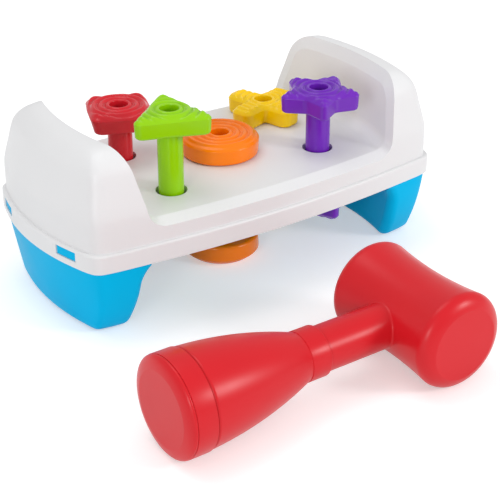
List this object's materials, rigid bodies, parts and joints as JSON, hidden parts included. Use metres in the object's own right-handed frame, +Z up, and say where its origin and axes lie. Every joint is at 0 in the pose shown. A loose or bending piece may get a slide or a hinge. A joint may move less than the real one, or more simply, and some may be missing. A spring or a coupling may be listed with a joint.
{
  "type": "peg pounding bench toy",
  "caption": "Toddler's pounding bench: double-headed shaped pegs slide through a white deck on a blue base with broad feet, and a flared-grip hammer lies in front.",
  "frame": {"origin": "on the floor, below the middle of the box round bench and hammer", "axes": "+Z up; +X along the bench, from the red and green pegs to the yellow and purple ones; the hammer lies in front, on -Y, with its handle towards -X"},
  "size_m": [0.2787, 0.276, 0.12],
  "materials": {
    "white_shell": "smooth moulded, soft gloss",
    "blue_shell": "smooth moulded, soft gloss",
    "red_plastic": "smooth moulded, glossy",
    "green_plastic": "smooth moulded, glossy",
    "orange_plastic": "smooth moulded, glossy",
    "yellow_plastic": "smooth moulded, glossy",
    "purple_plastic": "smooth moulded, glossy",
    "hammer_plastic": "smooth moulded, glossy",
    "screw_steel": "plain zinc finish",
    "ring_rubber": "matt moulded rubber"
  },
  "bodies": {
    "bench": {"top_shell": "white_shell", "base_shell": "blue_shell", "red_grip_ring": "ring_rubber", "green_grip_ring": "ring_rubber", "orange_grip_ring": "ring_rubber", "yellow_grip_ring": "ring_rubber", "purple_grip_ring": "ring_rubber"},
    "red_peg": {"red_peg_top": "red_plastic", "red_peg_bottom": "red_plastic", "red_peg_screw": "screw_steel"},
    "green_peg": {"green_peg_top": "green_plastic", "green_peg_bottom": "green_plastic", "green_peg_screw": "screw_steel"},
    "orange_peg": {"orange_peg_top": "orange_plastic", "orange_peg_bottom": "orange_plastic", "orange_peg_screw": "screw_steel"},
    "yellow_peg": {"yellow_peg_top": "yellow_plastic", "yellow_peg_bottom": "yellow_plastic", "yellow_peg_screw": "screw_steel"},
    "purple_peg": {"purple_peg_top": "purple_plastic", "purple_peg_bottom": "purple_plastic", "purple_peg_screw": "screw_steel"},
    "hammer": {"hammer_head": "hammer_plastic", "hammer_shaft": "hammer_plastic", "hammer_grip": "hammer_plastic", "hammer_end_cap": "hammer_plastic"}
  },
  "joints": [
    {"name": "red_slide", "type": "slide", "parent": "bench", "child": "red_peg", "axis": [0, 0, 1], "range_m": [-0.02101, 0.01699]},
    {"name": "green_slide", "type": "slide", "parent": "bench", "child": "green_peg", "axis": [0, 0, 1], "range_m": [-0.038, 0]},
    {"name": "orange_slide", "type": "slide", "parent": "bench", "child": "orange_peg", "axis": [0, 0, 1], "range_m": [0, 0.038]},
    {"name": "yellow_slide", "type": "slide", "parent": "bench", "child": "yellow_peg", "axis": [0, 0, 1], "range_m": [0, 0.038]},
    {"name": "purple_slide", "type": "slide", "parent": "bench", "child": "purple_peg", "axis": [0, 0, 1], "range_m": [-0.02671, 0.01129]},
    {"name": "hammer_lift", "type": "slide", "parent": "bench", "child": "hammer", "axis": [0, 0, 1], "range_m": [0, 0.15]}
  ]
}
